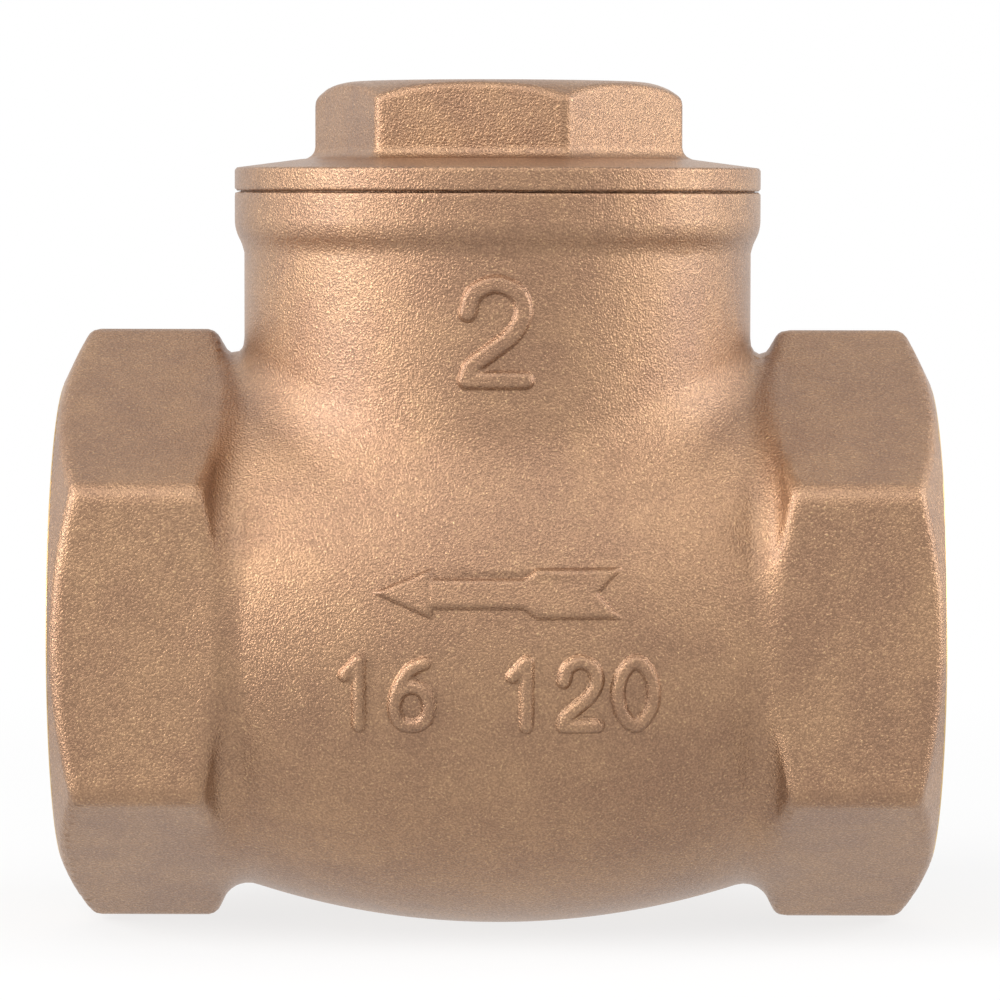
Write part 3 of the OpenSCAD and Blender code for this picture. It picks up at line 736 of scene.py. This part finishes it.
def bright_steel(colours):
    """Stainless steel with the streaks of drawn bar."""
    finish = Finish("bright_steel", Metallic=1.0)
    drawn = finish.noise(420, 3.0, 0.6, (1, 14, 1))
    cloud = finish.noise(160, 2.0)
    shade = finish.mix(cloud, shaded(colours.steel, 0.82), colours.steel[:])
    finish.feed(Base_Color=shade, Roughness=0.2 + drawn * 0.18)
    finish.bump(drawn, 0.00002, 0.5)
    return finish.material


def soft_copper(colours):
    """Annealed copper, a little stained."""
    finish = Finish("soft_copper", Metallic=1.0)
    cloud = finish.noise(260, 4.0, 0.6)
    shade = finish.mix(cloud.ramp(0.35, 0.7), shaded(colours.copper, 0.6), colours.copper[:])
    finish.feed(Base_Color=shade, Roughness=0.3 + cloud * 0.2)
    finish.bump(cloud, 0.00003, 0.4)
    return finish.material


def seal_rubber(colours):
    """Black rubber with a little dust."""
    finish = Finish("seal_rubber")
    dust = finish.noise(700, 4.0, 0.65)
    shade = finish.mix(dust.ramp(0.5, 0.8) * 0.5, colours.rubber[:], shaded(colours.rubber, 3))
    finish.feed(Base_Color=shade, Roughness=0.55 + dust * 0.2)
    finish.bump(dust, 0.00003, 0.5)
    return finish.material


def gasket_sheet(colours):
    """Pale fibre sheet."""
    finish = Finish("gasket_sheet")
    fibre = finish.noise(900, 4.0, 0.7, (1, 1, 5))
    shade = finish.mix(fibre.ramp(0.4, 0.65), shaded(colours.gasket, 0.86), colours.gasket[:])
    finish.feed(Base_Color=shade, Roughness=0.7 + fibre * 0.15)
    finish.bump(fibre, 0.00003, 0.5)
    return finish.material


# Port threads by Geometry Nodes

def thread_profile(size):
    """Closed outline of a port ring as points of x, radius and share of the thread, in millimetres."""
    depth = size.thread_depth / MM
    mouth, bottom = HALF_SPAN - (MOUTH_R - PORT_R), HALF_SPAN - PORT_DEPTH
    outer, inner, start, back, middle = PORT_R + 3.4, PORT_R + 1.5, 0.3, 0.1, 10
    taper, fade_len, samples = 1 / 32, 4, 8
    fine = size.thread_pitch / MM / samples
    points = [(x, PORT_R - (mouth - x) * taper, min(1, (x - bottom) / fade_len))
              for x in np.arange(bottom + start, mouth, fine)]
    points += [(x, PORT_R + (x - mouth), max(0, 1 - (x - mouth) / depth))
               for x in np.arange(mouth, HALF_SPAN, fine)]
    points += [(HALF_SPAN, r, 0) for r in (MOUTH_R, MOUTH_R + 0.08, (MOUTH_R + PORT_FACE_R) / 2,
                                          PORT_FACE_R - 0.3, PORT_FACE_R - FACE_INSET)]
    points += [(HALF_SPAN - FACE_INSET, PORT_FACE_R, 0), (HALF_SPAN - 1.2, PORT_FACE_R - 0.2, 0),
               (HALF_SPAN - 1.4, outer, 0), (HALF_SPAN - middle, outer, 0),
               (bottom + back, outer, 0), (bottom + back, inner, 0)]
    points.append(points[0])
    return np.array(points)


def thread_tree():
    """Turns an outline about the flow axis and cuts a screw thread where the outline asks for it."""
    tree = bpy.data.node_groups.new("port_thread", "GeometryNodeTree")
    face = tree.interface
    face.new_socket("Geometry", in_out="OUTPUT", socket_type="NodeSocketGeometry")
    face.new_socket("Outline", in_out="INPUT", socket_type="NodeSocketGeometry")
    for name, kind, default in (("Points", "Int", 10), ("Segments", "Int", 144),
                                ("Pitch", "Float", 0.002), ("Depth", "Float", 0.0015),
                                ("Offset", "Float", 0.0)):
        socket = face.new_socket(name, in_out="INPUT", socket_type="NodeSocket" + kind)
        socket.default_value = default
    face.new_socket("Finish", in_out="INPUT", socket_type="NodeSocketMaterial")
    group = add_node(tree, "NodeGroupInput")
    values = {name: Wire(tree, group.outputs[name]) for name in
              ("Outline", "Points", "Segments", "Pitch", "Depth", "Offset", "Finish")}
    grid = add_node(tree, "GeometryNodeMeshGrid", None,
                    {"Size X": 1.0, "Size Y": 1.0, "Vertices X": values["Segments"] + 1,
                     "Vertices Y": values["Points"]})
    place = add_node(tree, "GeometryNodeInputPosition")
    split = add_node(tree, "ShaderNodeSeparateXYZ", None, {0: place.outputs[0]})
    turn = Wire(tree, split.outputs[0]) + 0.5
    index = ((Wire(tree, split.outputs[1]) + 0.5) * (values["Points"] - 1)).alone("ROUND")
    sample = add_node(tree, "GeometryNodeSampleIndex", {"data_type": "FLOAT_VECTOR", "domain": "POINT"},
                      {"Geometry": values["Outline"], "Value": place.outputs[0], "Index": index})
    parts = add_node(tree, "ShaderNodeSeparateXYZ", None, {0: sample.outputs[0]})
    x, radius, share = (Wire(tree, socket) for socket in parts.outputs)
    wave = ((x / values["Pitch"] + turn).alone("FRACT") * 2 - 1).alone("ABSOLUTE")
    groove = wave.maths("MULTIPLY_ADD", wave, 1.3, -0.15)
    groove = groove.maths("MINIMUM", groove.maths("MAXIMUM", groove, 0.0), 1.0)
    radius = radius + groove * values["Depth"] * share
    angle = turn * math.tau
    spot = add_node(tree, "ShaderNodeCombineXYZ", None,
                    {0: x + values["Offset"], 1: radius * angle.alone("COSINE"),
                     2: radius * angle.alone("SINE")})
    moved = add_node(tree, "GeometryNodeSetPosition", None,
                     {"Geometry": grid.outputs["Mesh"], "Position": spot.outputs[0]})
    merged = add_node(tree, "GeometryNodeMergeByDistance", None,
                      {"Geometry": moved.outputs[0], "Distance": 2e-6})
    real = add_node(tree, "GeometryNodeRealizeInstances", None, {0: merged.outputs[0]})
    dressed = add_node(tree, "GeometryNodeSetMaterial", None,
                       {"Geometry": real.outputs[0], "Material": values["Finish"]})
    add_node(tree, "NodeGroupOutput", None, {0: dressed.outputs[0]})
    return tree


def grown(name, base, tree, inputs):
    """Plain mesh of what a Geometry Nodes tree makes of a base mesh."""
    piece = bpy.data.objects.new(name, base)
    bpy.context.collection.objects.link(piece)
    modifier = piece.modifiers.new("make", "NODES")
    modifier.node_group = tree
    for socket in tree.interface.items_tree:
        if socket.item_type == "SOCKET" and socket.in_out == "INPUT" and socket.name in inputs:
            modifier[socket.identifier] = inputs[socket.name]
    depsgraph = bpy.context.evaluated_depsgraph_get()
    mesh = bpy.data.meshes.new_from_object(piece.evaluated_get(depsgraph))
    piece.modifiers.clear()
    piece.data = mesh
    return piece


def face_out(piece, mirror=False):
    """The piece's mesh with its faces outwards, mirrored about the bonnet axis if asked."""
    mesh = bmesh.new()
    mesh.from_mesh(piece.data)
    if mirror:
        centre = Matrix.Translation((BONNET_X * MM, 0, 0))
        bmesh.ops.transform(mesh, verts=mesh.verts, matrix=centre @ Matrix.Scale(-1, 4, (1, 0, 0))
                            @ centre.inverted())
    bmesh.ops.recalc_face_normals(mesh, faces=mesh.faces)
    if mesh.calc_volume(signed=True) < 0:
        bmesh.ops.reverse_faces(mesh, faces=mesh.faces)
    mesh.to_mesh(piece.data)
    mesh.free()


def dress(node, material):
    """A CAD node shown in one of this script's materials."""
    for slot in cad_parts[node].material_slots:
        slot.link = "OBJECT"
        slot.material = material


def give(piece, look, body):
    """A finished piece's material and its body."""
    piece.data.materials.clear()
    piece.data.materials.append(bpy.data.materials[look])
    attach(piece, body)


# Operators

class VALVE_OT_finishes(Operator):
    """Make the valve's materials"""
    bl_idname = "valve.finishes"
    bl_label = "Materials"

    def execute(self, context):
        colours = context.scene.valve_colours
        axis = (BONNET_X * MM, 0, 0)
        seat = math.radians(SEAT_TILT)
        blasted_brass(colours)
        turned_brass("port_brass", colours, axis, (1, 0, 0), 0.0003)
        turned_brass("disc_brass", colours, ((BONNET_X + SEAT_X) * MM, 0, 0),
                     (math.cos(seat), 0, -math.sin(seat)), 0.0007)
        turned_brass("arm_brass", colours, axis, (0, 1, 0), 0.0006)
        bright_steel(colours)
        soft_copper(colours)
        seal_rubber(colours)
        gasket_sheet(colours)
        return {"FINISHED"}


class VALVE_OT_casting(Operator):
    """Make the cast body with its soft edges and fillets"""
    bl_idname = "valve.casting"
    bl_label = "Cast body"

    def execute(self, context):
        size = context.scene.valve_sizes

        def field(x, y, z):
            return np.maximum(outside(x, y, z, size), -hollow(x, y, z))
        low = BODY_LOW - [BONNET_X, 0, 0]
        high = BODY_HIGH - [BONNET_X, 0, 0]
        collar_step, soft = 0.4, 0.2
        collar = ((RIM_Z - COLLAR_H - COLLAR_TAPER - 1, RIM_Z + 1, collar_step),)
        piece = cast("cast_body", field, low, high, size.cast_step / MM, soft, collar)
        give(piece, "blasted_brass", "valve_body")
        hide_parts("body")
        seat = turned_ring("seat_ring", seat_outline(), SEAT_X, SEAT_TILT)
        rim = turned_ring("rim_ring", rim_outline(), 0, -90)
        give(seat, "disc_brass", "valve_body")
        give(rim, "blasted_brass", "valve_body")
        return {"FINISHED"}


class VALVE_OT_cap(Operator):
    """Make the screwed cap"""
    bl_idname = "valve.cap"
    bl_label = "Cap"

    def execute(self, context):
        size = context.scene.valve_sizes

        def field(x, y, z):
            return np.maximum(cap_outside(x, y, z), -cap_hollow(x, y, z))
        low = CAP_LOW - [BONNET_X, 0, 0]
        high = CAP_HIGH - [BONNET_X, 0, 0]
        room, flange_step, soft = 0.6, 0.27, 0.12
        flange = ((RIM_Z - room, RIM_Z + CAP_GAP + FLANGE_T + room, flange_step),)
        piece = cast("bonnet_cap", field, low, high, size.cap_step / MM, soft, flange)
        give(piece, "blasted_brass", "valve_body")
        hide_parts("cap")
        return {"FINISHED"}


class VALVE_OT_threads(Operator):
    """Cut the pipe threads in both ports"""
    bl_idname = "valve.threads"
    bl_label = "Port threads"

    def execute(self, context):
        size = context.scene.valve_sizes
        outline = thread_profile(size)
        tree = thread_tree()
        for name, mirror in (("inlet_thread", False), ("outlet_thread", True)):
            base = bpy.data.meshes.new(name)
            links = [(n, n + 1) for n in range(len(outline) - 1)]
            base.from_pydata((outline * [MM, MM, 1]).tolist(), links, [])
            piece = grown(name, base, tree, {
                "Points": len(outline), "Segments": 160, "Pitch": size.thread_pitch,
                "Depth": size.thread_depth, "Offset": BONNET_X * MM,
                "Finish": bpy.data.materials["port_brass"]})
            face_out(piece, mirror)
            give(piece, "port_brass", "valve_body")
        return {"FINISHED"}


class VALVE_OT_marks(Operator):
    """Raise the flow arrow and the plain numbers on the casting"""
    bl_idname = "valve.marks"
    bl_label = "Raised marks"

    def execute(self, context):
        size = context.scene.valve_sizes
        # Each mark's shape, and the corners of the stretch of x and z that holds it
        marks = {
            "flow_arrow": (arrow_shape(tip=-15.8, head=-8.3, feather=3.4, tail=16.1, notch=13.0,
                                       middle=7.2, head_half=3.2, shaft_half=1.95, tail_half=3.2),
                           (-17, 3), (17.5, 11.5)),
            "size_number": (digits_shape("2", left=-4.2, bottom=34.4, wide=7.8, high=12.4,
                                         advance=0, stroke=2.3),
                            (-7.5, 31.8), (7.0, 49.2)),
            "rating_number": (digits_shape("16 120", left=-20.4, bottom=-9.9, wide=4.6, high=8.4,
                                           advance=7.2, stroke=1.75),
                              (-22.5, -12), (22.5, 0.6)),
        }
        for name, (shape, low, high) in marks.items():
            piece = raise_mark(name, shape, low, high, size)
            give(piece, "blasted_brass", "valve_body")
        return {"FINISHED"}


class VALVE_OT_inner(Operator):
    """Dress the parts that come from the frame"""
    bl_idname = "valve.inner"
    bl_label = "Inner parts"

    def execute(self, context):
        looks = {"arm": "arm_brass", "disc": "disc_brass", "disc_nut": "disc_brass",
                 "pin_plug": "arm_brass", "disc_seal": "seal_rubber", "disc_washer": "bright_steel",
                 "split_pin": "bright_steel", "hinge_pin": "bright_steel",
                 "plug_washer": "soft_copper", "cap_gasket": "gasket_sheet",
                 "body": "blasted_brass", "cap": "blasted_brass"}
        for node, look in looks.items():
            dress(node, bpy.data.materials[look])
        return {"FINISHED"}


class VALVE_OT_studio(Operator):
    """Set the floor, the lamps, the world and the camera"""
    bl_idname = "valve.studio"
    bl_label = "Studio"

    def execute(self, context):
        studio = context.scene.valve_studio
        colours = context.scene.valve_colours
        aim_height = 0.015
        centre = Vector((BONNET_X * MM, 0, aim_height))
        make_floor(colours.floor[:])
        make_world(studio.world)
        # Azimuth and elevation in degrees, distance and sides in metres, power in watts
        lamps = (("left_lamp", -72, 14, 0.75, 0.34, 0.8, studio.left_power),
                 ("right_lamp", 90, 14, 0.75, 0.34, 0.8, studio.right_power),
                 ("top_lamp", -6, 48, 0.9, 0.9, 0.6, studio.top_power))
        for name, around, up, away, wide, high, power in lamps:
            light = bpy.data.lights.new(name, "AREA")
            light.shape, light.size, light.size_y, light.energy = "RECTANGLE", wide, high, power
            lamp = bpy.data.objects.new(name, light)
            a, e = math.radians(around), math.radians(up)
            aim = Vector((math.sin(a) * math.cos(e), -math.cos(a) * math.cos(e), math.sin(e)))
            lamp.location = centre + aim * away
            lamp.rotation_euler = aim.to_track_quat("Z", "Y").to_euler()
            context.collection.objects.link(lamp)
        view = bpy.data.cameras.new("camera")
        view.lens, view.sensor_width, view.sensor_fit = studio.lens, 36, "AUTO"
        view.clip_start, view.clip_end = 0.01, 100
        camera = bpy.data.objects.new("camera", view)
        camera.location = (BONNET_X * MM + studio.side, -studio.distance, studio.height)
        tilt = Matrix.Rotation(math.radians(90) - studio.pitch, 4, "X")
        camera.rotation_euler = (tilt @ Matrix.Rotation(studio.roll, 4, "Z")).to_euler()
        context.collection.objects.link(camera)
        context.scene.camera = camera
        context.scene.view_settings.view_transform = "Standard"
        return {"FINISHED"}


def seen_directly(tree, camera_share=1.0):
    """1 for rays in gloss and through glass, and the given share for rays from the camera."""
    rays = add_node(tree, "ShaderNodeLightPath")
    camera, glossy, clear = (Wire(tree, rays.outputs[name]) for name in
                             ("Is Camera Ray", "Is Glossy Ray", "Is Transmission Ray"))
    return camera.maths("MINIMUM", camera * camera_share + glossy + clear, 1.0)


def make_floor(tint):
    """Pale floor that fades to the white background and keeps the valve's shadow."""
    reach, drop, near, edge, least = 3.0, CAD_BOX[0][2], 0.12, 0.32, 0.78
    mesh = bpy.data.meshes.new("floor")
    mesh.from_pydata([(-reach, -reach, drop), (reach, -reach, drop), (reach, reach, drop),
                      (-reach, reach, drop)], [], [(0, 1, 2, 3)])
    floor = bpy.data.objects.new("floor", mesh)
    bpy.context.collection.objects.link(floor)
    finish = Finish("pale_floor", Roughness=0.9)
    finish.shader.inputs["Specular IOR Level"].default_value = 0.0
    split = finish.node("ShaderNodeSeparateXYZ", None, Vector=finish.place)
    x, y = finish.wire(split.outputs[0]), finish.wire(split.outputs[1])
    x = x - BONNET_X * MM
    far = (x * x + y * y).alone("SQRT").ramp(near, edge)
    speck = finish.noise(400, 2.0)
    pale = finish.mix(speck, shaded(tint, 0.985), tint)
    finish.feed(Base_Color=pale)
    glow = finish.node("ShaderNodeEmission", None, Color=(1, 1, 1, 1), Strength=1.0)
    share = seen_directly(finish.tree, far * (1 - least) + least)
    blend = finish.node("ShaderNodeMixShader")
    finish.tree.links.new(share.socket, blend.inputs[0])
    finish.tree.links.new(finish.shader.outputs[0], blend.inputs[1])
    finish.tree.links.new(glow.outputs[0], blend.inputs[2])
    output = finish.tree.nodes["Material Output"]
    finish.tree.links.new(blend.outputs[0], output.inputs["Surface"])
    mesh.materials.append(finish.material)


def make_world(strength):
    """White where it is seen, and plain soft light for everything else."""
    world = bpy.data.worlds.new("studio_world")
    world.use_nodes = True
    tree = world.node_tree
    ground = tree.nodes["Background"]
    ground.inputs["Color"].default_value = (1, 1, 1, 1)
    level = seen_directly(tree) * (1 - strength) + strength
    tree.links.new(level.socket, ground.inputs["Strength"])
    bpy.context.scene.world = world


# Panel, registration and the run

class VALVE_PT_parts(Panel):
    """Panel that lists the valve's operators"""
    bl_label = "Swing check valve"
    bl_idname = "VALVE_PT_parts"
    bl_space_type = "VIEW_3D"
    bl_region_type = "UI"
    bl_category = "Valve"

    def draw(self, context):
        for operator in OPERATORS:
            self.layout.operator(operator.bl_idname)
        for group in ("valve_sizes", "valve_colours", "valve_studio"):
            values = getattr(context.scene, group)
            box = self.layout.box()
            for key in values.bl_rna.properties.keys():
                if key not in ("rna_type", "name"):
                    box.prop(values, key)


GROUPS = {"valve_sizes": ValveSizes, "valve_colours": ValveColours, "valve_studio": ValveStudio}
OPERATORS = (VALVE_OT_finishes, VALVE_OT_studio, VALVE_OT_casting, VALVE_OT_cap, VALVE_OT_threads,
             VALVE_OT_marks, VALVE_OT_inner)


def register():
    for kind in (*GROUPS.values(), *OPERATORS, VALVE_PT_parts):
        bpy.utils.register_class(kind)
    for name, kind in GROUPS.items():
        setattr(bpy.types.Scene, name, PointerProperty(type=kind))


def unregister():
    for name in GROUPS:
        delattr(bpy.types.Scene, name)
    for kind in reversed((*GROUPS.values(), *OPERATORS, VALVE_PT_parts)):
        bpy.utils.unregister_class(kind)


def main():
    register()
    for operator in OPERATORS:
        group, name = operator.bl_idname.split(".")
        getattr(getattr(bpy.ops, group), name)()
    bpy.context.view_layer.update()


if __name__ == "__main__":
    main()
